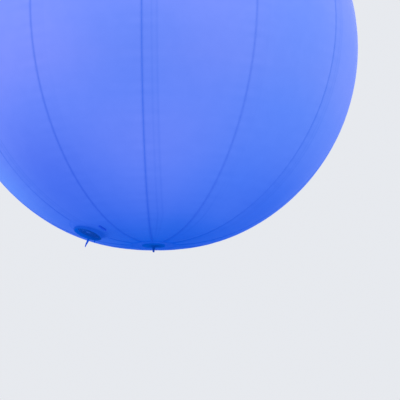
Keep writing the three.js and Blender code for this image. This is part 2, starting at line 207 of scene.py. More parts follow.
class ClothSettings(bpy.types.PropertyGroup):
    """Sizes and colours of the lit cloth"""
    glow_pole: colour_setting(
        "Glow at the Pole", "Light through the cloth round the lower pole", (0.004, 0.086, 0.60))
    glow_low: colour_setting(
        "Glow Below", "Light through the cloth under the belly", (0.035, 0.119, 0.685))
    glow_belly: colour_setting(
        "Glow of the Belly", "Light through the cloth half way down", (0.085, 0.174, 0.775))
    glow_waist: colour_setting(
        "Glow of the Waist", "Light through the cloth over the belly", (0.152, 0.229, 0.825))
    glow_middle: colour_setting(
        "Glow of the Middle", "Light through the cloth just under the middle",
        (0.205, 0.259, 0.835))
    glow_upper: colour_setting(
        "Glow Above", "Light through the cloth over the middle", (0.25, 0.315, 0.90))
    glow_lamp: colour_setting(
        "Glow of the Lamp", "Light through the cloth beside the lamp", (0.34, 0.43, 0.98))
    glow_shoulder: colour_setting(
        "Glow of the Shoulder", "Light through the cloth over the lamp", (0.20, 0.28, 0.86))
    glow_crown: colour_setting(
        "Glow of the Crown", "Light through the cloth in the lamp's own shadow", (0.11, 0.18, 0.72))
    dye: colour_setting("Cloth Colour", "Colour of the cloth in plain light", (0.003, 0.028, 0.17))
    thickness: length_setting("Cloth Thickness", "Thickness of one layer with its coating",
                              1.5 * MM, min=0.2 * MM, max=10 * MM)
    valley_depth: length_setting("Seam Depth", "How far a seam is drawn in", 1.5 * MM)
    valley_width: length_setting(
        "Seam Valley", "How far the drawn-in cloth reaches from a seam", 11 * MM)
    pucker_depth: length_setting(
        "Pucker Depth", "Height of the small folds beside a seam", 0.7 * MM)
    pucker_reach: length_setting(
        "Pucker Reach", "How far the small folds reach from a seam", 38 * MM)
    gather_depth: length_setting("Gather Depth", "Height of the folds round the caps", 0.8 * MM)
    gather_reach: length_setting("Gather Reach", "How far the folds reach from the caps", 45 * MM)
    gathers: IntProperty(
        name="Gathers", description="Number of folds round a cap", default=60, min=12, max=240)


class FittingSettings(bpy.types.PropertyGroup):
    """Colours of the fittings and the trim"""
    hem: colour_setting("Hem Colour", "Colour of the port's hem", (0.0005, 0.040, 0.27))
    webbing: colour_setting(
        "Webbing Colour", "Colour of the patch, the loop and the tabs", (0.0005, 0.030, 0.23))
    plastic: colour_setting(
        "Plastic Colour", "Colour of the fan and of the crown's inlet", (0.0004, 0.0155, 0.112))
    gland: colour_setting(
        "Gland Colour", "Colour of the gland beside the port", (0.003, 0.026, 0.24))


class StageSettings(bpy.types.PropertyGroup):
    """The camera and the plain surroundings"""
    lens: FloatProperty(
        name="Lens", description="Focal length of the camera", default=135, unit="CAMERA")
    distance: length_setting("Camera Distance", "Level distance from the balloon's middle", 7.128)
    drop: length_setting("Camera Drop", "How far the camera is under the balloon's middle", 2.209)
    pale: colour_setting("Surroundings", "Colour of the sky light", (0.80, 0.82, 0.86))


# Modelling


def deselect():
    """Leaves nothing selected."""
    bpy.ops.object.select_all(action="DESELECT")


def only(piece):
    """Makes a piece the one that is selected and active."""
    deselect()
    piece.select_set(True)
    bpy.context.view_layer.objects.active = piece


def started(primitive, **settings):
    """A new primitive, alone in the selection."""
    deselect()
    primitive(**settings)
    return bpy.context.object


@contextmanager
def editing(piece, kind="FACE"):
    """Edit mode on one piece, with all of it selected."""
    only(piece)
    bpy.ops.object.mode_set(mode="EDIT")
    bpy.ops.mesh.select_mode(type=kind)
    bpy.ops.mesh.select_all(action="SELECT")
    yield
    bpy.ops.object.mode_set(mode="OBJECT")


def pick(kind, test):
    """Selects, in edit mode, the vertices, edges or faces that pass a test."""
    piece = bpy.context.object
    bpy.ops.mesh.select_mode(type=kind)
    bpy.ops.mesh.select_all(action="DESELECT")
    mesh = bmesh.from_edit_mesh(piece.data)
    for part in {"VERT": mesh.verts, "EDGE": mesh.edges, "FACE": mesh.faces}[kind]:
        if test(part):
            part.select_set(True)
    bmesh.update_edit_mesh(piece.data)


def modified(piece, kind, **settings):
    """A piece with a modifier applied."""
    only(piece)
    modifier = piece.modifiers.new("Shape", kind)
    for name, value in settings.items():
        setattr(modifier, name, value)
    bpy.ops.object.modifier_apply(modifier=modifier.name)
    return piece


def rounded(piece, width, segments=2):
    """A piece with its sharp edges bevelled."""
    return modified(piece, "BEVEL", width=width, segments=segments, limit_method="ANGLE",
                    angle_limit=math.radians(35))


def cut(piece, *tools):
    """A piece with the tools' shapes taken away; the tools are used up."""
    for tool in tools:
        modified(piece, "BOOLEAN", object=tool, operation="DIFFERENCE", solver="EXACT")
        bpy.data.objects.remove(tool)
    return piece


def joined(*pieces):
    """Several pieces made one."""
    only(pieces[0])
    for piece in pieces[1:]:
        piece.select_set(True)
    if len(pieces) > 1:
        bpy.ops.object.join()
    return pieces[0]


def placed(piece, place):
    """A piece brought to a place, with that place in its mesh."""
    only(piece)
    piece.matrix_world = place @ piece.matrix_world
    bpy.ops.object.transform_apply(location=True, rotation=True, scale=True)
    return piece


def copied(piece, place):
    """A copy of a piece at another place, with its own mesh."""
    copy = piece.copy()
    copy.data = piece.data.copy()
    bpy.context.collection.objects.link(copy)
    return placed(copy, place)


def repeated(piece, count, start=0.0):
    """A piece and its copies, spaced evenly about Z from a first turn in degrees."""
    placed(piece, Matrix.Rotation(math.radians(start), 4, "Z"))
    turns = [Matrix.Rotation(TURN * k / count, 4, "Z") for k in range(1, count)]
    return joined(piece, *[copied(piece, turn) for turn in turns])


def turned(profile, segments=64, hollow=False):
    """A piece turned about Z: a circle drawn through its profile of radii and heights. A hollow
    one closes on its first circle, and the others are closed by a face at each end."""
    (radius, height), *rest = profile
    piece = started(bpy.ops.mesh.primitive_circle_add, vertices=segments, radius=radius,
                    location=(0, 0, height))
    placed(piece, Matrix.Identity(4))
    with editing(piece, "EDGE"):
        for next_radius, next_height in [*rest, profile[0]] if hollow else rest:
            bpy.ops.mesh.extrude_edges_move(
                TRANSFORM_OT_translate={"value": (0, 0, next_height - height)})
            share = next_radius / radius
            bpy.ops.transform.resize(value=(share, share, 1), center_override=(0, 0, next_height))
            radius, height = next_radius, next_height
        bpy.ops.mesh.select_all(action="SELECT")
        bpy.ops.mesh.remove_doubles(threshold=0.01 * MM)
        bpy.ops.mesh.fill_holes(sides=0)
        bpy.ops.mesh.normals_make_consistent(inside=False)
    return piece


def bar(radius, start, end, segments):
    """A round bar from one point to another."""
    start, end = Vector(start), Vector(end)
    along = end - start
    piece = started(bpy.ops.mesh.primitive_cylinder_add, vertices=segments, radius=radius,
                    depth=along.length, location=(start + end) / 2,
                    rotation=along.to_track_quat("Z", "Y").to_euler())
    return placed(piece, Matrix.Identity(4))


def wire_ring(radius, wire, height, segments, sides=10):
    """A ring of round wire about Z."""
    piece = started(bpy.ops.mesh.primitive_torus_add, major_radius=radius, minor_radius=wire,
                    major_segments=segments, minor_segments=sides, location=(0, 0, height))
    return placed(piece, Matrix.Identity(4))


def block(size, middle):
    """A plain block about its middle."""
    piece = started(bpy.ops.mesh.primitive_cube_add, size=1, location=middle)
    piece.scale = size
    return placed(piece, Matrix.Identity(4))


def socket_screw(radius, height, base):
    """A cap screw's head with a hexagon socket, standing on a base height."""
    head = rounded(turned([(radius, base), (radius, base + height)], 24), 0.12 * radius)
    socket = started(bpy.ops.mesh.primitive_cylinder_add, vertices=6, radius=0.5 * radius,
                     depth=height, location=(0, 0, base + height))
    return cut(head, socket)


def from_points(name, points, faces):
    """A piece made from its points and faces."""
    mesh = bpy.data.meshes.new(name)
    mesh.from_pydata(points, [], faces)
    piece = bpy.data.objects.new(name, mesh)
    bpy.context.collection.objects.link(piece)
    return piece


def grid(name, columns, rows, place, round_about=False, closed_up=False):
    """Cloth laid as quads by place(u, v), with u and v from 0 to 1. It can join its own sides
    round about, and its top and bottom."""
    wide = columns if round_about else columns + 1
    tall = rows if closed_up else rows + 1
    points = [place(c / columns, r / rows) for r in range(tall) for c in range(wide)]
    faces = []
    for r in range(rows):
        low, high = r * wide, (r + 1) % tall * wide
        for c in range(columns):
            across = (c + 1) % wide
            faces.append((low + c, low + across, high + across, high + c))
    piece = from_points(name, points, faces)
    with editing(piece, "VERT"):
        bpy.ops.mesh.remove_doubles(threshold=0.005 * MM)
    return piece


def facing_out(piece, centre=None):
    """Turns a sheet's faces away from a centre, or else a closed mesh's faces outwards."""
    with editing(piece):
        bpy.ops.mesh.normals_make_consistent(inside=False)
    if centre is not None:
        mesh = piece.data
        side = sum((f.center - centre).dot(f.normal) for f in mesh.polygons)
        if side < 0:
            with editing(piece):
                bpy.ops.mesh.flip_normals()
    return piece


def stitches(name, runs, pitch, length, thick=0.45 * MM):
    """Sewing thread: one small spindle for each stitch along runs of (point, outward) pairs."""
    points, faces = [], []
    for run in runs:
        travelled = 0.0
        for (start, up), (end, _) in zip(run, run[1:]):
            step = (end - start).length
            along = (end - start).normalized()
            side = along.cross(up).normalized()
            while travelled < step:
                middle = start + along * travelled
                k = len(points)
                points += [middle - along * length / 2, middle + along * length / 2,
                           middle + side * thick, middle + up * thick,
                           middle - side * thick, middle - up * thick]
                for a, b in ((2, 3), (3, 4), (4, 5), (5, 2)):
                    faces += [(k, k + b, k + a), (k + 1, k + a, k + b)]
                travelled += pitch
            travelled -= step
    return facing_out(from_points(name, points, faces))


def settled(piece, name, material, slot, *nodes, body="balloon", smooth=40):
    """Names and paints a finished piece and puts it on its body, for the nodes it stands for."""
    only(piece)
    bpy.ops.object.shade_smooth_by_angle(angle=math.radians(smooth))
    piece.name = piece.data.name = name
    piece.data.materials.clear()
    piece.data.materials.append(material)
    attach(piece, body)
    if nodes:
        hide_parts(*nodes)


# Finishes


class Value:
    """A socket that adds Math nodes to its finish when it stands in an expression."""

    def __init__(self, finish, socket):
        self.finish, self.socket = finish, socket

    def maths(self, operation, *others):
        """A Math node on this value and others."""
        return self.finish.node("ShaderNodeMath", dict(enumerate((self, *others))),
                                operation=operation)

    def flipped(self, operation, other):
        """A Math node with this value in second place."""
        return self.finish.node("ShaderNodeMath", {0: other, 1: self}, operation=operation)

    def __add__(self, other):
        return self.maths("ADD", other)

    def __sub__(self, other):
        return self.maths("SUBTRACT", other)

    def __mul__(self, other):
        return self.maths("MULTIPLY", other)

    def __truediv__(self, other):
        return self.maths("DIVIDE", other)

    def __rsub__(self, other):
        return self.flipped("SUBTRACT", other)

    def __rtruediv__(self, other):
        return self.flipped("DIVIDE", other)

    __radd__, __rmul__ = __add__, __mul__

    def line(self, at, width):
        """A soft line, 1 at one value and fading to nothing over a width."""
        off = (self - at) / width
        return (off * off * -1).maths("EXPONENT")

    def ease(self, low, high):
        """0 up to a low value, 1 from a high one, and smooth between them."""
        return self.finish.node("ShaderNodeMapRange", {0: self, 1: low, 2: high},
                                interpolation_type="SMOOTHSTEP")

    def wave(self, length):
        """From -1 to 1 and back over each length."""
        return (self * (TURN / length)).maths("SINE")


class Finish:
    """A material on one Principled shader, wired by expressions."""

    def __init__(self, name, **constants):
        self.material = bpy.data.materials.new(name)
        self.material.use_nodes = True
        self.tree = self.material.node_tree
        self.shader = self.tree.nodes["Principled BSDF"]
        for socket, value in constants.items():
            label = socket.replace("_", " ").title().replace("Ior", "IOR")
            self.shader.inputs[label].default_value = value

    def node(self, kind, inputs=(), output=0, stops=None, **settings):
        """Adds a node: its settings and ramp stops first, then its sockets' values or links."""
        node = self.tree.nodes.new(kind)
        for name, value in settings.items():
            setattr(node, name, value)
        if stops:
            while len(node.color_ramp.elements) < len(stops):
                node.color_ramp.elements.new(0.5)
            for element, (at, colour) in zip(node.color_ramp.elements, stops):
                element.position, element.color = at, colour
        for key, value in dict(inputs).items():
            if isinstance(value, Value):
                self.tree.links.new(value.socket, node.inputs[key])
            else:
                node.inputs[key].default_value = value
        return Value(self, node.outputs[output])

    def place(self, centre=(0, 0, 0)):
        """Object coordinates counted from a centre."""
        plain = self.node("ShaderNodeTexCoord", output="Object")
        return self.node("ShaderNodeMapping", {"Vector": plain, "Location": [-c for c in centre]})

    def parts(self, vector):
        """The X, Y and Z of a vector."""
        first = self.node("ShaderNodeSeparateXYZ", {0: vector})
        outputs = first.socket.node.outputs
        return [Value(self, outputs[k]) for k in range(3)]

    def noise(self, vector, scale, detail, roughness=0.5):
        """Cloudy noise, about 0.5 on the whole."""
        return self.node("ShaderNodeTexNoise", {"Vector": vector, "Scale": scale, "Detail": detail,
                                                "Roughness": roughness})

    def mix(self, factor, a, b, blend="MIX"):
        """Colour A and B, mixed or blended by a factor."""
        return self.node("ShaderNodeMix", {0: factor, 6: a, 7: b}, output=2, data_type="RGBA",
                         blend_type=blend)

    def port_light(self, x, colour, east, west):
        """The light that comes past the fan: shares of a colour, from the port's east side to its
        west side, which faces the lamp."""
        return self.mix(x.ease(PORT_WEST, PORT_EAST), opaque(colour, west), opaque(colour, east))

    def bump(self, height, distance, strength=1.0):
        """Raises the surface's finest relief by a height from 0 to 1."""
        self.give("Normal", self.node("ShaderNodeBump", {
            "Height": height, "Distance": distance, "Strength": strength}))

    def give(self, socket, value):
        """Links a value to the shader."""
        self.tree.links.new(value.socket, self.shader.inputs[socket])


def opaque(colour, scale=1.0):
    """A colour with its alpha, scaled and kept within 1."""
    return (*(min(1.0, c * scale) for c in colour), 1.0)


class Cloth(Finish):
    """Coated cloth lit from inside, its light fading from the crown to the lower pole."""

    def __init__(self, name, look):
        super().__init__(name, roughness=0.55, specular_ior_level=0.004, emission_strength=1.0)
        self.spot = self.place(MIDDLE)
        self.x, y, z = self.parts(self.spot)
        self.wide = (self.x * self.x + y * y).maths("SQRT")
        self.polar = self.wide.maths("ARCTAN2", z * -1)
        self.around = self.x.maths("ARCTAN2", y * -1)
        stops = [(8, look.glow_pole), (22, look.glow_low), (40, look.glow_belly),
                 (62, look.glow_waist), (73, look.glow_middle), (100, look.glow_upper),
                 (135, look.glow_lamp), (163, look.glow_shoulder), (174, look.glow_crown)]
        self.lit = self.node("ShaderNodeValToRGB", {0: self.polar / math.pi}, stops=[
            (polar / 180, opaque(colour)) for polar, colour in stops])
        for longitude, polar, reach, share in LIGHT_SPOTS:
            spot = self.near(longitude, polar, reach)
            self.lit = self.mix(spot, self.lit, (*share, 1), "MULTIPLY")
        self.dye = opaque(look.dye)
        east = (self.around * (1 / math.radians(GORE_SPAN)) + GORES).maths("FRACT")
        gore_width = self.wide * math.radians(GORE_SPAN)
        self.from_west = east * gore_width
        self.from_seam = 0.5 * gore_width - ((east - 0.5) * gore_width).maths("ABSOLUTE")

    def near(self, longitude, polar, reach):
        """1 at a place on the cloth, fading over a reach in radii."""
        facing = self.node("ShaderNodeVectorMath", {0: self.spot, 1: direction(longitude, polar)},
                           output="Value", operation="DOT_PRODUCT")
        return ((facing - RADIUS) * (2 / reach ** 2)).maths("EXPONENT")

    def seam_strength(self):
        """How strongly the seams show: less towards +X, and low down at both sides, as painted side
        light washes them out.
        """
        washed_by_side_light = self.near(61, 38, 0.22) * 0.55 + self.near(-57, 44, 0.22) * 0.95
        return 1.25 - self.x.ease(-0.7, 0.5) * 0.42 - washed_by_side_light

    def filtered(self, lit, shade):
        """Light dimmed by a share of its green; blue cloth stops more of the red, less blue."""
        through = self.mix(1.0, lit, (0.467, 0.667, 0.883, 1), "MULTIPLY")
        return self.mix(shade * 3, lit, through)


def weave(u, v, pitch):
    """The weave's high and low threads, from -1 to 1."""
    return u.wave(pitch) * v.wave(pitch)


def gore_cloth(look):
    """A gore's cloth: its seams' allowances, folds and crinkles show against the light inside."""
    cloth = Cloth("Gore cloth", look)
    up = cloth.polar * RADIUS
    crinkle = cloth.noise(cloth.spot, 17, 4.0, 0.55)
    speckle = cloth.noise(cloth.spot, 26, 3.0)

    def stout_threads(along):
        """The ripstop's stout threads, one every 7 mm."""
        return (along / (7 * MM)).maths("FRACT").line(0.5, 0.09)

    check = stout_threads(up) + stout_threads(cloth.from_west)
    # The allowance of each seam lies east of it, folded twice, and narrows towards the poles
    allowance = cloth.from_west / (cloth.wide / 0.42).maths("MINIMUM", 1.0)
    inner_fold, outer_fold, edge = 43 * MM, 66 * MM, 70 * MM
    folds = allowance.line(inner_fold, 4.5 * MM) + allowance.line(outer_fold, 4.5 * MM)
    doubled = 1 - allowance.ease(edge, edge + 6 * MM)
    # Every second seam was sewn last and folded wider, and one is tucked near the pole
    felled = 0.55 + ((cloth.around - math.radians(3)) * (GORES / 2)).maths("COSINE") * 0.45
    tucked = allowance.line(inner_fold, 5 * MM) * cloth.near(33, 21, 0.2)
    near_seam = (cloth.from_seam / (-60 * MM)).maths("EXPONENT")
    # Painted shade of the puckers beside the seams: light and dark streaks along them
    short, long = (up.wave(pitch) for pitch in PUCKER_PITCHES)
    pucker_shade = (short + long) * near_seam
    # The light through the cloth is darker where the cloth is doubled, at the seams, folds and
    # ripstop threads, with painted shade from the puckers and crinkles
    shade = (cloth.from_seam.line(0, 6.5 * MM) * cloth.seam_strength() * 0.17
             + (folds * 0.050 + doubled * 0.012 + doubled * check * 0.014) * felled
             + tucked * 0.10 + doubled * 0.010 + pucker_shade * 0.014 + crinkle * 0.08 - 0.016
             + check * 0.008)
    # The light through the cloth is painted uneven: brighter and darker in broad bands round the
    # balloon, and in soft patches from place to place
    uneven_light = ((cloth.around - math.radians(3)) * 5).maths("COSINE")
    light_patches = cloth.noise(cloth.spot, 1.3, 1.0) - 0.5
    level = (0.5 + uneven_light * 0.30 + light_patches * 0.9).maths("MINIMUM", 1.0).maths("MAXIMUM", 0.0)
    light_tint = cloth.mix(level, (0.80, 0.93, 0.985, 1), (1.16, 1.05, 1.01, 1))
    lit = cloth.mix(1.0, cloth.lit, light_tint, "MULTIPLY")
    cloth.give("Emission Color", cloth.filtered(lit, shade))
    # The base colour darkens with the same marks: painted shade along the seams, folds, puckers and
    # crinkles, the ripstop's pattern, and at random the speckle
    shade_and_speckle = shade + (speckle - 0.5) * 0.10
    cloth.give("Base Color", cloth.mix(shade_and_speckle, cloth.dye, (0.0, 0.01, 0.06, 1)))
    cloth.give("Roughness", 0.46 + speckle * 0.12)
    threads = weave(cloth.from_west, up, 1.4 * MM)
    cloth.bump(threads * 0.12 + check * 0.18 + crinkle * 2.4, 0.35 * MM, 0.8)
    return cloth.material


def trim_cloth(name, look, passed, crease=60, seams=0.0, welt=False):
    """The same cloth where it is doubled, in caps, welts and the boot, with the share of the red,
    green and blue that it passes. The gores' seams may show through it."""
    cloth = Cloth(name, look)
    x, y, z = cloth.parts(cloth.spot)
    speckle = cloth.noise(cloth.spot, crease, 3.0)
    shade = (speckle - 0.38) * 0.3
    if seams:
        shade = shade + cloth.from_seam.line(0, 5.5 * MM) * seams
    # A welt fades with the seams where painted side light washes them out
    lit = cloth.mix(cloth.seam_strength() if welt else 1.0, cloth.lit, opaque(passed), "MULTIPLY")
    cloth.give("Emission Color", cloth.filtered(lit, shade))
    cloth.give("Base Color", cloth.mix(speckle * 0.25, cloth.dye, (0.0, 0.015, 0.12, 1)))
    cloth.give("Roughness", 0.48 + speckle * 0.14)
    cloth.bump(weave(x + z, y - z, 1.4 * MM) * 0.2 + speckle * 2.0, 0.35 * MM, 0.8)
    return cloth.material


def woven(name, colour, pitch, east, west, shadow=None):
    """Dense dark webbing or binding with a rib, worn on its high threads. The light inside the
    balloon brings out shares of its colour at the port's east and west sides, and more of it
    outside a shadow of some radius just east of the pole."""
    finish = Finish(name, roughness=0.8, specular_ior_level=0.0, emission_strength=1.0)
    spot = finish.place(MIDDLE)
    x, y, z = finish.parts(spot)
    rib = weave(x + y * 0.5, z + y * 0.8, pitch) * 0.5 + 0.5
    wear = finish.noise(spot, 70, 4.0)
    shade = rib * 0.35 + wear * 0.4
    finish.give("Base Color", finish.mix(shade, opaque(colour, 0.65), opaque(colour, 1.6)))
    lit = finish.port_light(x, colour, east, west)
    if shadow:
        east_of = x - shadow / 4
        away = ((east_of * east_of + y * y).maths("SQRT") / shadow).ease(0.1, 1.0)
        lit = finish.mix(away, lit, (2.6, 2.2, 1.8, 1), "MULTIPLY")
    finish.give("Emission Color", finish.mix(shade, finish.mix(0.45, lit, (0, 0, 0, 1)), lit))
    finish.give("Roughness", 0.68 + wear * 0.22)
    finish.bump(rib + wear * 0.8, 0.4 * MM, 0.9)
    return finish.material


def thread(name, look, passed):
    """Twisted sewing thread, with the share of the light in the cloth beside it that it passes."""
    cloth = Cloth(name, look)
    x, y, z = cloth.parts(cloth.spot)
    twist = (x + y + z).wave(0.8 * MM) * 0.5 + 0.5
    cloth.give("Emission Color", cloth.mix(1 - twist * 0.2, (0, 0, 0, 1), cloth.mix(
        1.0, cloth.lit, opaque(passed), "MULTIPLY")))
    cloth.give("Base Color", cloth.mix(twist, cloth.dye, (0.0, 0.01, 0.06, 1)))
    cloth.bump(twist, 0.1 * MM)
    return cloth.material


def sewing_thread(look):
    """The pale thread of every seam in the envelope, made when it is first asked for."""
    name = "Sewing thread"
    return bpy.data.materials.get(name) or thread(name, look, (0.80, 0.88, 0.96))


def moulded(name, colour, east, west=None, gloss=0.45):
    """Moulded plastic with a fine spark grain and a little dust. The light inside the balloon
    brings out a share of its colour, or shares at the port's east and west sides, and more of it
    on faces turned west."""
    finish = Finish(name, roughness=gloss, specular_ior_level=0.03, emission_strength=1.0)
    spot = finish.place(MIDDLE)
    lit = finish.port_light(finish.parts(spot)[0], colour, east, west or east)
    turned_west = finish.node("ShaderNodeVectorMath", {
        0: finish.node("ShaderNodeTexCoord", output="Normal"), 1: -PORT.col[0].xyz},
        output="Value", operation="DOT_PRODUCT")
    finish.give("Emission Color", finish.mix(0.9 + turned_west * 0.4, (0, 0, 0, 1), lit))
    grain = finish.noise(spot, 1400, 2.0)
    dust = finish.noise(spot, 45, 4.0, 0.6).ease(0.45, 0.8)
    dusty = opaque([c + 0.005 for c in colour])
    finish.give("Base Color", finish.mix(dust * 0.35, opaque(colour), dusty))
    finish.give("Roughness", gloss + dust * 0.3 + grain * 0.06)
    finish.bump(grain, 0.06 * MM, 0.7)
    return finish.material


def metal(name, colour, roughness, brushed):
    """Bare metal, brushed in rings about the balloon's axis or polished."""
    finish = Finish(name, metallic=1.0, roughness=roughness)
    spot = finish.place(MIDDLE)
    x, y, z = finish.parts(spot)
    rings = finish.noise(finish.node("ShaderNodeCombineXYZ", {
        0: (x * x + y * y).maths("SQRT"), 1: z * 0.3}), 900 if brushed else 60, 2.0)
    smudge = finish.noise(spot, 35, 3.0)
    finish.give("Base Color", finish.mix(smudge * 0.6, opaque(colour), opaque(colour, 0.72)))
    finish.give("Roughness", roughness + rings * (0.16 if brushed else 0.05) + smudge * 0.08)
    finish.bump(rings, (0.05 if brushed else 0.01) * MM, 0.6)
    return finish.material


def enamel(name):
    """Pale powder coating for the lamp's housing."""
    finish = Finish(name, roughness=0.5)
    spot = finish.place(MIDDLE)
    peel = finish.noise(spot, 420, 2.0)
    grime = finish.noise(spot, 12, 4.0)
    pale, dirty = (0.74, 0.78, 0.86, 1), (0.60, 0.64, 0.74, 1)
    finish.give("Base Color", finish.mix(grime * 0.5, pale, dirty))
    finish.give("Roughness", 0.42 + peel * 0.15)
    finish.bump(peel, 0.08 * MM, 0.8)
    return finish.material


def plain_floor(name):
    """The stage's pale floor."""
    finish = Finish(name, roughness=0.85, specular_ior_level=0.2)
    cloud = finish.noise(finish.place(), 0.8, 4.0)
    finish.give("Base Color", finish.mix(cloud, (0.74, 0.75, 0.77, 1), (0.80, 0.81, 0.83, 1)))
    finish.bump(finish.noise(finish.place(), 90, 3.0), 1 * MM, 0.3)
    return finish.material


# Pieces


# A gore's columns, as shares of its width: close together at the seams
HALF_SHARES = (0, 0.006, 0.014, 0.026, 0.045, 0.075, 0.12, 0.18, 0.26, 0.38)
COLUMN_SHARES = (*HALF_SHARES, 0.5, *(1 - share for share in reversed(HALF_SHARES)))
COLUMNS = len(COLUMN_SHARES) - 1
GORE_ROWS = 290
GORE_ENDS = CAP_ANGLE + math.degrees(0.3 * MM / RADIUS)


def oblong(length, width, low, high):
    """A round-ended bar along Y, from one height to another: a circle pulled out at both ends."""
    piece = turned([(width / 2, low), (width / 2, high)], 32)
    pull = (length - width) / 2
    with editing(piece, "VERT"):
        for side in (1, -1):
            pick("VERT", lambda v: side * v.co.y > 0.01 * MM)
            bpy.ops.transform.translate(value=(0, side * pull, 0))
    return piece


class BALLOON_OT_sew_gores(bpy.types.Operator):
    """Sews the twelve gores of the envelope, with the holes for the port and the gland"""
    bl_idname = "balloon.sew_gores"
    bl_label = "Sew Gores"

    def execute(self, context):
        look = context.scene.balloon_cloth
        material = gore_cloth(look)
        for k, node in enumerate(GORE_NODES):
            # From -360 to 0, so that the port's and the gland's longitudes fall in a gore's
            start = k * GORE_SPAN - 360

            def lay(u, v):
                longitude = start + GORE_SPAN * COLUMN_SHARES[round(u * COLUMNS)]
                polar = GORE_ENDS + (180 - 2 * GORE_ENDS) * v
                return MIDDLE + direction(longitude, polar) * sewn_radius(longitude, polar, look)

            gore = facing_out(grid(node, COLUMNS, GORE_ROWS, lay), MIDDLE)
            modified(gore, "SOLIDIFY", thickness=look.thickness, offset=-1)
            if PORT_LONGITUDE in (start, start + GORE_SPAN):
                hole = turned([(PORT_HOLE_R, -40 * MM), (PORT_HOLE_R, 40 * MM)])
                cut(gore, placed(hole, PORT))
            if start < GLAND_LONGITUDE < start + GORE_SPAN:
                cut(gore, placed(oblong(42 * MM, 9 * MM, -30 * MM, 20 * MM), GLAND))
            number = node.split("_")[1]
            settled(gore, f"gore_cloth_{number}", material, "balloon_cloth", node)
        return {"FINISHED"}


def seam_run(longitude, aside, look, out, step=1.0):
    """Points up a seam, aside from it by a length, clear of the port."""
    run, runs = [], []
    polar = GORE_ENDS + 0.1
    while polar < 180 - GORE_ENDS:
        wide = RADIUS * math.sin(math.radians(polar))
        there = longitude + math.degrees(aside / wide)
        up = direction(there, polar)
        if up.angle(direction(PORT_LONGITUDE, PORT_POLAR)) * RADIUS < PORT_HOLE_R + 7 * MM:
            runs, run = runs + [run], []
        else:
            run.append((MIDDLE + up * (sewn_radius(there, polar, look) + out), up))
        polar += step
    return [run for run in [*runs, run] if len(run) > 1]


class BALLOON_OT_sew_seams(bpy.types.Operator):
    """Lays a slim welt in each seam and two rows of stitches beside it"""
    bl_idname = "balloon.sew_seams"
    bl_label = "Sew Seams"

    def execute(self, context):
        look = context.scene.balloon_cloth
        welts, runs = [], []
        half_width, proud, aside = 2.6 * MM, 1.5 * MM, 6 * MM
        for k in range(GORES):
            longitude = k * GORE_SPAN - 360
            for run in seam_run(longitude, 0, look, 0):
                east = direction(longitude + 90, 90)

                def lay(u, v):
                    spot, up = run[round(v * (len(run) - 1))]
                    turn = TURN * u
                    return spot + east * half_width * math.cos(turn) + up * proud * math.sin(turn)

                welts.append(grid("welt", 8, len(run) - 1, lay, round_about=True))
            for side in (-1, 1):
                runs += seam_run(longitude, side * aside, look, 0.2 * MM, 0.6)
        welt = joined(*welts)
        with editing(welt):
            bpy.ops.mesh.fill_holes(sides=8)
        material = trim_cloth("Welt cloth", look, (0.58, 0.72, 0.89), welt=True)
        settled(facing_out(welt), "seam_welts", material, "balloon_cloth", smooth=60)
        rows = stitches("seam_stitches", runs, 9 * MM, 6 * MM, 0.5 * MM)
        settled(rows, "seam_stitches", sewing_thread(look), "balloon_cloth")
        return {"FINISHED"}


def ring_run(radius, height, end):
    """A circle of (point, outward) pairs about Z, facing up if end is 1 and down if it is -1."""
    up, count = Vector((0, 0, end)), 180
    turns = [TURN * k / count for k in range(count + 1)]
    return [(Vector((radius * math.cos(t), radius * math.sin(t), height)), up) for t in turns]


class BALLOON_OT_sew_caps(bpy.types.Operator):
    """Sews the two round caps over the ends of the gores"""
    bl_idname = "balloon.sew_caps"
    bl_label = "Sew Caps"

    def execute(self, context):
        look = context.scene.balloon_cloth
        material = trim_cloth("Cap cloth", look, (0.84, 0.91, 0.97), 40, seams=0.14)
        reach, lip = CAP_RADIUS + 4 * MM, 1.4 * MM
        for name, end in (("lower_cap", -1), ("crown_cap", 1)):
            bore = 6.5 * MM if end > 0 else 0.0

            def height(radius):
                """The bare cloth's height over or under the balloon's middle."""
                polar = math.degrees(math.asin(radius / RADIUS))
                return skin_radius(polar, 0) * math.cos(math.radians(polar))

            def lay(u, v):
                radius = bore + (reach - bore) * v
                turn = TURN * u
                out = lip * min(1.0, max(0.0, (radius - 60 * MM) / (40 * MM)))
                hem = 1.0 * MM * math.exp(-((radius - reach + 4 * MM) / (3.2 * MM)) ** 2)
                fold = 0.55 * MM * math.sin(60 * turn) * max(0.0, (radius - 75 * MM) / (40 * MM))
                off = min(height(radius), POLE_HEIGHT) + out + hem + fold
                x, y = radius * math.cos(turn), radius * math.sin(turn)
                return MIDDLE + Vector((x, y, end * off))

            cap = facing_out(grid(name, 180, 44, lay, round_about=True), MIDDLE)
            modified(cap, "SOLIDIFY", thickness=look.thickness, offset=-1)
            settled(cap, f"{name}_cloth", material, "cap_cloth", name)
            runs = []
            for inset in (7.5 * MM, 12 * MM):
                radius = reach - inset
                top = MIDDLE.z + end * (height(radius) + lip + 0.4 * MM)
                runs.append(ring_run(radius, top, end))
            rows = stitches("ring", runs, 5 * MM, 3.4 * MM)
            settled(rows, f"{name}_stitches", sewing_thread(look), "cap_cloth")
        return {"FINISHED"}


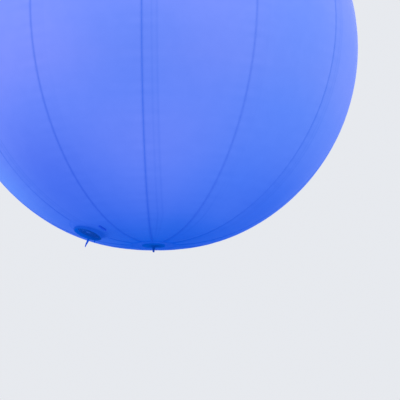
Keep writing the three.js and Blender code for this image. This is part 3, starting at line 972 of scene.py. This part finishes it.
class BALLOON_OT_sew_patch(bpy.types.Operator):
    """Sews the dark patch and its webbing loop on the lower cap"""
    bl_idname = "balloon.sew_patch"
    bl_label = "Sew Patch"

    def execute(self, context):
        look = context.scene.balloon_cloth
        fittings = context.scene.balloon_fittings
        webbing = woven("Dark webbing", fittings.webbing, 2.4 * MM, 1.3, 1.3, 48 * MM)
        sewing = thread("Dark thread", look, (0.1, 0.45, 0.40))
        top = MIDDLE.z - POLE_HEIGHT - 0.3 * MM
        radius, thick, seam_radii = 55.5 * MM, 3 * MM, (49 * MM, 30 * MM)

        def lay(u, v):
            turn, r = TURN * u, radius * min(1.0, v / 0.94)
            sag = thick * min(1.0, (1 - v) / 0.06) ** 0.5 if v > 0.94 else thick
            ripple = 0.25 * MM * math.sin(36 * turn) * v ** 3
            outer, inner = (math.exp(-((r - seam) / (1.4 * MM)) ** 2) for seam in seam_radii)
            dent = -0.5 * MM * (outer + inner)
            return Vector((r * math.cos(turn), r * math.sin(turn), top - sag - dent - ripple))

        patch = grid("patch", 144, 60, lay, round_about=True)
        with editing(patch, "EDGE"):
            bpy.ops.mesh.fill_holes(sides=0)
        settled(facing_out(patch), "dark_patch", webbing, "dark_webbing", "lower_patch")
        face = top - thick - 0.15 * MM
        runs = [ring_run(seam, face + 0.4 * MM, -1) for seam in seam_radii]
        wide, deep = 10 * MM, 18 * MM
        corners = [(wide, deep), (-wide, deep), (-wide, -deep), (wide, -deep), (wide, deep)]
        box = [(Vector((x, y, face)), Vector((0, 0, -1))) for x, y in corners]
        runs += [box, [box[0], box[2]], [box[1], box[3]]]
        rows = stitches("patch", runs, 4.5 * MM, 3.2 * MM)
        settled(rows, "patch_stitches", sewing, "dark_webbing")
        self.sew_loop(webbing, face - 0.15 * MM)
        return {"FINISHED"}

    def sew_loop(self, webbing, base):
        """A strap 12 mm wide: a foot, down one side, round the arch, where it is pinched, and up
        to the other foot."""
        half_width, arch, inner, thick = 6 * MM, 22 * MM, 5.5 * MM, 2.5 * MM
        middle = inner + thick / 2
        foot = [(-16 * MM + 1.4 * MM * k, thick / 2) for k in range(5)]
        route = [*foot, (-middle - 0.6 * MM, 1.5 * thick), (-middle, 3 * thick),
                 (-middle, 6 * thick)]
        route += [(-middle * math.cos(t), arch + middle * math.sin(t))
                  for t in (math.pi * k / 14 for k in range(15))]
        route += [(-x, h) for x, h in reversed(route[:8])]
        low = arch + middle

        def lay(u, v):
            along, depth = route[round(v * (len(route) - 1))]
            pinched = half_width * (1 - 0.35 * (depth / low) ** 2)
            return Vector((pinched * (2 * u - 1), along, base - depth))

        strap = grid("strap", 6, len(route) - 1, lay)
        modified(facing_out(strap), "SOLIDIFY", thickness=thick * 0.84, offset=0)
        rounded(strap, 0.5 * MM)
        modified(strap, "SUBSURF", levels=1, render_levels=1)
        settled(facing_out(strap), "webbing_loop", webbing, "dark_webbing", "lower_loop")


class BALLOON_OT_sew_port(bpy.types.Operator):
    """Sews the port's boot and its dark hem, and the webbing tabs on the hem"""
    bl_idname = "balloon.sew_port"
    bl_label = "Sew Port"

    def execute(self, context):
        look = context.scene.balloon_cloth
        fittings = context.scene.balloon_fittings
        self.sew_boot(look)
        self.stitch_flange(look)
        self.bind_hem(woven("Hem binding", fittings.hem, 1.6 * MM, 1.2, 2.3))
        self.sew_tabs(woven("Tab webbing", fittings.webbing, 2.4 * MM, 3.0, 3.0))
        return {"FINISHED"}

    def sew_boot(self, look):
        """The cloth from the envelope's hole in to the hem and round it, in small folds."""
        # radius and height in mm, and how much of the height is the boot's own, not the envelope's
        route = [(101, 0, 0), (98, 0, 0), (95, 0, 0), (92, -5.4, 0.5), (88, -5.2, 0.9),
                 (84, -4.5, 1), (80, -3.4, 1), (76, -1.9, 1), (72, 0, 1), (69, 1.8, 1),
                 (67.5, 3.2, 1), (67.6, 4.4, 1), (69.8, 5, 1), (70.7, 6.4, 1), (70.9, 8.5, 1),
                 (70.9, 11, 1), (70.8, 13, 1), (70.4, 14.9, 1), (69.3, 16.3, 1), (67.8, 17, 1),
                 (66.2, 17, 1)]
        last = len(route) - 1

        def lay(u, v):
            radius, height, own = route[round(v * last)]
            turn = TURN * u
            fold = 0.8 * math.sin(44 * turn) * math.sin(math.pi * v) ** 2
            # The folds rise from the cloth and, round the hem, stand out from it
            sideways, upwards = (0.4 * fold, 0) if height > 3 else (0, fold if height < 3 else 0)
            radius = (radius + sideways) * MM
            x, y = radius * math.cos(turn), radius * math.sin(turn)
            skin = port_skin(x, y, 1.1 * MM).z
            return Vector((x, y, skin + (height * MM - skin) * own + upwards * MM))

        boot = facing_out(grid("boot", 264, last, lay, round_about=True), Vector((0, 0, -RADIUS)))
        modified(boot, "SOLIDIFY", thickness=look.thickness * 0.6, offset=-1)
        boot_cloth = trim_cloth("Boot cloth", look, (0.95, 0.98, 1.0), 50)
        settled(placed(boot, PORT), "port_boot", boot_cloth, "balloon_cloth", "fan_boot",
                "mouth_hem")
        bands = [math.dist(a[:2], b[:2]) * (a[0] + b[0]) / 2 for a, b in zip(route, route[1:])]
        area = TURN * sum(bands) * MM ** 2

    def stitch_flange(self, look):
        """The ring of stitches that holds the boot's flange on the envelope."""
        radius, count, run = PORT_HOLE_R + 3 * MM, 180, []
        for k in range(count + 1):
            turn = TURN * k / count
            spot = port_skin(radius * math.cos(turn), radius * math.sin(turn), 1.3 * MM)
            outwards = PORT.to_3x3() @ (spot + Vector((0, 0, RADIUS)))
            run.append((PORT @ spot, outwards.normalized()))
        ring = stitches("flange", [run], 5.5 * MM, 3.8 * MM)
        settled(ring, "boot_stitches", sewing_thread(look), "balloon_cloth")

    def bind_hem(self, binding):
        """The stiff ring round the mouth, bound in dark cloth that gathers a little all round."""
        middle_r, middle_h = (HEM_R + HEM_BORE_R) / 2, (HEM_HIGH + HEM_LOW) / 2
        half_r, half_h = (HEM_R - HEM_BORE_R) / 2, (HEM_HIGH - HEM_LOW) / 2

        def lay(u, v):
            turn, side = TURN * u, TURN * v
            square = 1 / max(abs(math.cos(side)), abs(math.sin(side)))
            swell = square ** 0.62
            gather = 0.35 * MM * math.sin(54 * turn + math.sin(5 * turn))
            gather *= 0.6 + 0.4 * math.cos(side)
            groove = -0.5 * MM * math.exp(-((v - 0.93) / 0.012) ** 2)
            radius = middle_r + (half_r * swell - 0.9 * MM + gather + groove) * math.cos(side)
            height = middle_h + (half_h * swell - 0.4 * MM + gather) * math.sin(side)
            return Vector((radius * math.cos(turn), radius * math.sin(turn), height))

        hem = facing_out(grid("hem", 216, 36, lay, round_about=True, closed_up=True))
        settled(placed(hem, PORT), "mouth_binding", binding, "hem_cloth", "mouth_hem")

    def sew_tabs(self, webbing):
        """The curled pull tab and the short one, narrowing to their tips."""
        # name, turn round the port in degrees, width, and route as sideways and outwards, in mm
        tabs = [("pull_tab", 210, 11, [(0, 0), (-0.2, 3.5), (0, 7), (0.7, 10.5), (2, 14), (4, 18),
                                      (6, 22), (7.4, 26), (8, 30), (8.2, 35.5), (8, 41)]),
                ("short_tab", 240, 6, [(0, 0), (0.5, 5), (0.5, 9), (0, 13)])]
        for name, turn, width, route in tabs:
            last = len(route) - 1

            def lay(u, v):
                x, h = route[round(v * last)]
                taper = width * (1 - 0.65 * v ** 1.8)
                return Vector((-x * MM, taper * (u - 0.5) * MM, h * MM))

            tab = facing_out(grid(name, 4, last, lay))
            modified(tab, "SUBSURF", levels=2, render_levels=2)
            modified(tab, "SOLIDIFY", thickness=1.7 * MM, offset=0)
            rounded(tab, 0.3 * MM)
            turn = math.radians(turn)
            root, foot = HEM_R - 5 * MM, HEM_HIGH + 0.3 * MM
            place = PORT @ Matrix.Translation((root * math.cos(turn), root * math.sin(turn), foot))
            settled(placed(facing_out(tab), place), f"webbing_{name}", webbing, "dark_webbing",
                    name)


class BALLOON_OT_build_fan(bpy.types.Operator):
    """Builds the fan's moulded frame, its rotor and the wire guard"""
    bl_idname = "balloon.build_fan"
    bl_label = "Build Fan"

    def execute(self, context):
        colour = context.scene.balloon_fittings.plastic
        self.mould_frame(moulded("Dark plastic", colour, 3.0, 5.2))
        self.mould_rotor(moulded("Rotor plastic", colour, 3.4, gloss=0.4))
        self.bend_guard(moulded("Guard wire", colour, 3.3, 5.7, 0.4))
        return {"FINISHED"}

    def mould_frame(self, plastic):
        """The frame's barrel with its ribs, and the motor's seat on four struts."""
        low, high, waist = FRAME_LOW, MOUTH_HEIGHT, FRAME_R - 2 * MM
        barrel = turned([(FRAME_R, low), (FRAME_R, low + 4 * MM), (waist, low + 4.5 * MM),
                         (waist, high - 4.5 * MM), (FRAME_R, high - 4 * MM), (FRAME_R, high),
                         (FRAME_BORE_R + 2 * MM, high), (FRAME_BORE_R, high - 3 * MM),
                         (FRAME_BORE_R, low + 2 * MM), (FRAME_BORE_R + 1.5 * MM, low)],
                        96, hollow=True)
        top, edge = MOTOR_TOP, 1.2 * MM
        seat = turned([(MOTOR_R, low), (MOTOR_R, top - edge), (MOTOR_R - edge, top),
                       (7 * MM, top), (6 * MM, top - 1 * MM)], 48)
        bore = turned([(2.8 * MM, low - 1 * MM), (2.8 * MM, top + 1 * MM)], 24)
        strut = block((36 * MM, 4.6 * MM, 4 * MM), (37 * MM, 0, low + 2 * MM))
        with editing(strut):
            pick("FACE", lambda f: f.normal.z > 0.9)
            bpy.ops.transform.resize(value=(1, 0.55, 1))
        rib = block((3.2 * MM, 1.6 * MM, 16 * MM), (FRAME_R - 1.2 * MM, 0, (low + high) / 2))
        fan_frame = joined(barrel, cut(seat, bore), repeated(strut, 4, 45), repeated(rib, 12))
        settled(placed(rounded(fan_frame, 0.25 * MM, 1), PORT), "moulded_frame", plastic,
                "dark_plastic", "fan_frame")

    def mould_rotor(self, plastic):
        """The hub with its sunk face, the shaft and the blades."""
        top, edge = ROTOR_HIGH, 0.6 * MM
        hub = turned([(HUB_R, ROTOR_LOW), (HUB_R, top - 2 * MM), (HUB_R - edge, top - edge),
                      (HUB_R - 2 * MM, top), (14 * MM, top), (13.4 * MM, top - edge),
                      (4 * MM, top - edge), (3 * MM, top - 2 * edge)])
        shaft = turned([(2.4 * MM, MOTOR_TOP - 4 * MM), (2.4 * MM, ROTOR_LOW)], 24)
        blades = repeated(self.draw_blade(), BLADES)
        settled(placed(joined(hub, shaft, blades), PORT), "bladed_rotor", plastic,
                "dark_plastic", "fan_rotor", body="rotor", smooth=50)

    def draw_blade(self):
        """One cambered blade: an arc drawn out from the hub, wider, flatter and swept outwards."""
        arc_r, arc_turn, root = 22 * MM, math.radians(24), HUB_R - 2.5 * MM
        blade = started(bpy.ops.mesh.primitive_circle_add, vertices=90, radius=arc_r,
                        rotation=(0, math.pi / 2, 0))
        placed(blade, Matrix.Translation((root, 0, 0)))
        with editing(blade, "VERT"):
            pick("VERT", lambda v: math.atan2(abs(v.co.y), v.co.z) > arc_turn)
            bpy.ops.mesh.delete(type="VERT")
            bpy.ops.mesh.select_all(action="SELECT")
            middle = (ROTOR_LOW + ROTOR_HIGH) / 2
            bpy.ops.transform.translate(value=(0, 0, middle - arc_r))
            spot = Vector((root, 0, middle))
            bpy.ops.transform.rotate(value=math.radians(32), orient_axis="X", center_override=spot)
            bpy.ops.mesh.select_mode(type="EDGE")
            move = Vector((3.45 * MM, 0.55 * MM, 0))
            for _ in range(9):
                bpy.ops.mesh.extrude_edges_move(TRANSFORM_OT_translate={"value": move})
                spot += move
                bpy.ops.transform.resize(value=(1, 1.055, 1.02), center_override=spot)
                bpy.ops.transform.rotate(value=math.radians(-1.7), orient_axis="X",
                                         center_override=spot)
        modified(blade, "SOLIDIFY", thickness=1.3 * MM, offset=0)
        return facing_out(rounded(blade, 0.3 * MM))

    def bend_guard(self, wire):
        """The finger guard: wire rings on eight spokes, a middle disc and four screwed clips."""
        height, rim, thin = 5.5 * MM, 54 * MM, 0.9 * MM
        rings = [wire_ring(rim, 1.2 * MM, height, 96)]
        for radius in (46, 38.5, 31.5, 25, 18.5):
            rings.append(wire_ring(radius * MM, thin, height, 72, 8))
        under = height - 0.8 * MM
        spokes = repeated(bar(thin, (9 * MM, 0, under), (rim, 0, under), 8), 8)
        disc = turned([(12 * MM, height - 1.1 * MM), (12 * MM, height),
                       (10.5 * MM, height + 0.9 * MM), (4 * MM, height + 1.1 * MM)], 40)
        lug = rounded(turned([(3.6 * MM, height - 1.2 * MM), (3.6 * MM, height)], 20), 0.3 * MM)
        screw = socket_screw(2.2 * MM, 1.1 * MM, height)
        clips = repeated(placed(joined(lug, screw), Matrix.Translation((51.6 * MM, 0, 0))), 4, 45)
        settled(placed(joined(*rings, spokes, disc, clips), PORT), "wire_guard", wire,
                "dark_plastic", "fan_guard")


class BALLOON_OT_fit_glands(bpy.types.Operator):
    """Fits the oblong lead gland beside the port and the round inlet on the crown"""
    bl_idname = "balloon.fit_glands"
    bl_label = "Fit Glands"

    def execute(self, context):
        fittings = context.scene.balloon_fittings
        self.fit_gland(moulded("Gland plastic", fittings.gland, 2.7))
        self.fit_inlet(moulded("Inlet plastic", fittings.plastic, 0.6))
        return {"FINISHED"}

    def fit_gland(self, plastic):
        """The oblong gland: a screwed flange, a collar round a ribbed pocket, and a neck."""
        flange = rounded(oblong(51 * MM, 16 * MM, 0.3 * MM, 3.2 * MM), 0.6 * MM)
        collar = rounded(oblong(34 * MM, 10.5 * MM, 3.2 * MM, 5 * MM), 0.5 * MM)
        pocket = oblong(30 * MM, 6.5 * MM, 4 * MM, 7 * MM)
        neck = oblong(41 * MM, 8 * MM, -18 * MM, 0.4 * MM)
        rib = (7 * MM, 1.2 * MM, 0.8 * MM)
        ribs = [block(rib, (0, y * MM, 4.3 * MM)) for y in range(-10, 11, 4)]
        screws = [placed(socket_screw(2.6 * MM, 1.4 * MM, 3.2 * MM),
                         Matrix.Translation((0, y * MM, 0))) for y in (-21, 21)]
        gland = joined(flange, cut(collar, pocket), neck, *ribs, *screws)
        settled(placed(gland, GLAND), "oblong_gland", plastic, "gland_plastic", "lead_gland")

    def fit_inlet(self, plastic):
        """The lamp lead's inlet: a hexagon nut and a ribbed sleeve with a cupped end."""
        low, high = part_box("lead_inlet")
        nut = rounded(turned([(12.9 * MM, 0), (12.9 * MM, 8 * MM)], 6), 0.7 * MM)
        # radius and height in mm
        sleeve = [(10.6, 8)]
        for k in range(5):
            base = 8.4 + 2.2 * k
            sleeve += [(10.6, base), (9.6, base + 0.6), (9.6, base + 1.2), (10.6, base + 1.8)]
        sleeve += [(9.5, 20.4), (6.2, 25.6), (4.4, 26), (3.8, 22)]
        inlet = joined(nut, turned([(radius * MM, height * MM) for radius, height in sleeve], 40))
        middle = (low + high) / 2
        place = Matrix.Translation((middle.x, middle.y, low.z))
        settled(placed(inlet, place), "ribbed_inlet", plastic, "dark_plastic", "lead_inlet")


class BALLOON_OT_fit_crown(bpy.types.Operator):
    """Fits the crown plate with its screws and the hanging eye"""
    bl_idname = "balloon.fit_crown"
    bl_label = "Fit Crown"

    def execute(self, context):
        aluminium = metal("Brushed aluminium", (0.62, 0.64, 0.67), 0.3, True)
        steel = metal("Bright steel", (0.66, 0.67, 0.70), 0.16, False)
        self.screw_plate(aluminium)
        self.forge_eye(steel)
        closed_in = {"clamp_plate": aluminium, "lamp_stem": aluminium, "eye_nut": steel,
                     "lamp_unit": enamel("Lamp enamel")}
        for name, material in closed_in.items():
            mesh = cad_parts[name].data
            mesh.materials.clear()
            mesh.materials.append(material)
        return {"FINISHED"}

    def screw_plate(self, aluminium):
        """The crown plate with its groove, and six screws on washers."""
        low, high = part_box("crown_plate")
        bore, edge, thick = 6.3 * MM, 60 * MM, high.z - low.z
        sunk = thick - 0.5 * MM
        plate = turned([(bore, 0), (edge, 0), (edge, thick - 1.2 * MM), (edge - 1.2 * MM, thick),
                        (34 * MM, thick), (33.4 * MM, sunk), (31 * MM, sunk),
                        (30.4 * MM, thick), (bore, thick)], 96, hollow=True)
        top = thick + 1 * MM
        washer = turned([(3.2 * MM, thick), (6.6 * MM, thick), (6.6 * MM, top), (3.2 * MM, top)],
                        32, hollow=True)
        screw = joined(washer, socket_screw(5 * MM, 5 * MM, top))
        screws = repeated(placed(screw, Matrix.Translation((49 * MM, 0, 0))), 6)
        up = Matrix.Translation((0, 0, low.z))
        settled(placed(joined(plate, screws), up), "screwed_plate", aluminium, "plate_metal",
                "crown_plate")

    def forge_eye(self, steel):
        """The hanging eye and its bolt with a collar, down through the crown."""
        low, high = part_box("hanging_eye")
        bar_r, ring_r = 5 * MM, 22 * MM
        ring = started(bpy.ops.mesh.primitive_torus_add, major_radius=ring_r, minor_radius=bar_r,
                       major_segments=72, minor_segments=24,
                       location=(0, 0, high.z - ring_r - bar_r), rotation=(math.pi / 2, 0, 0))
        placed(ring, Matrix.Identity(4))
        collar = high.z - 2 * (ring_r + bar_r) - 8 * MM
        # radius and height over the collar's underside, in mm
        profile = [(6, 0), (13, 0), (14, 1), (14, 4), (13, 5), (9, 6), (7.4, 9), (7, 13)]
        bolt = turned([(6 * MM, low.z)] + [(r * MM, collar + h * MM) for r, h in profile], 48)
        settled(joined(ring, bolt), "forged_eye", steel, "bright_steel", "hanging_eye")


class BALLOON_OT_set_stage(bpy.types.Operator):
    """Sets the camera, the pale floor and the soft lights"""
    bl_idname = "balloon.set_stage"
    bl_label = "Set Stage"

    def execute(self, context):
        stage = context.scene.balloon_stage
        # The camera's longitude, and its turns from +Y: aside about Z, and up
        longitude, aside, pitch = (math.radians(angle) for angle in (3.366, 1.568, 11.523))
        spot = MIDDLE + Vector((math.sin(longitude), -math.cos(longitude), 0)) * stage.distance
        spot.z -= stage.drop
        bpy.ops.object.camera_add(location=spot, rotation=(math.pi / 2 + pitch, 0, aside))
        camera = context.object
        camera.name = "camera"
        camera.data.lens = stage.lens
        camera.data.sensor_width = 36
        camera.data.clip_end = 200
        context.scene.camera = camera

        floor = started(bpy.ops.mesh.primitive_plane_add, size=80,
                        location=(0, 0, spot.z - 50 * MM))
        floor.name = "floor"
        floor.data.materials.append(plain_floor("Pale floor"))

        world = bpy.data.worlds.new("Pale surroundings")
        context.scene.world = world
        world.use_nodes = True
        sky = world.node_tree.nodes["Background"]
        sky.inputs["Color"].default_value = opaque(stage.pale)
        # name, place, size in metres and power in watts
        for name, place, size, power in (("key_light", (-4.5, -5.5, 3.5), 4.0, 200),
                                         ("side_light", (6.5, -2.0, 0.5), 3.5, 80),
                                         ("back_light", (1.5, 6.5, 2.5), 4.0, 140)):
            bpy.ops.object.light_add(type="AREA", location=place)
            light = context.object
            light.name = name
            light.rotation_euler = (MIDDLE - Vector(place)).to_track_quat("-Z", "Y").to_euler()
            light.data.size = size
            light.data.energy = power
        context.scene.view_settings.view_transform = "Standard"
        return {"FINISHED"}


STEPS = (BALLOON_OT_set_stage, BALLOON_OT_sew_gores, BALLOON_OT_sew_seams, BALLOON_OT_sew_caps,
         BALLOON_OT_sew_patch, BALLOON_OT_sew_port, BALLOON_OT_build_fan, BALLOON_OT_fit_glands,
         BALLOON_OT_fit_crown)
SETTINGS = {"balloon_cloth": ClothSettings, "balloon_fittings": FittingSettings,
            "balloon_stage": StageSettings}


class BALLOON_PT_panel(bpy.types.Panel):
    """The balloon's settings and its making, step by step"""
    bl_label = "LED Balloon"
    bl_space_type = "VIEW_3D"
    bl_region_type = "UI"
    bl_category = "Balloon"

    def draw(self, context):
        """Lists every setting, then every step."""
        for group in SETTINGS:
            settings = getattr(context.scene, group)
            for name in SETTINGS[group].__annotations__:
                self.layout.prop(settings, name)
        for step in STEPS:
            self.layout.operator(step.bl_idname)


CLASSES = (*SETTINGS.values(), *STEPS, BALLOON_PT_panel)


def register():
    """Adds the settings, the steps and the panel to Blender."""
    for made in CLASSES:
        bpy.utils.register_class(made)
    for name, group in SETTINGS.items():
        setattr(bpy.types.Scene, name, PointerProperty(type=group))


def unregister():
    """Takes them out again."""
    for name in SETTINGS:
        delattr(bpy.types.Scene, name)
    for made in reversed(CLASSES):
        bpy.utils.unregister_class(made)


def main():
    """Makes the balloon step by step."""
    register()
    for step in STEPS:
        group, name = step.bl_idname.split(".")
        getattr(getattr(bpy.ops, group), name)()


if __name__ == "__main__":
    main()
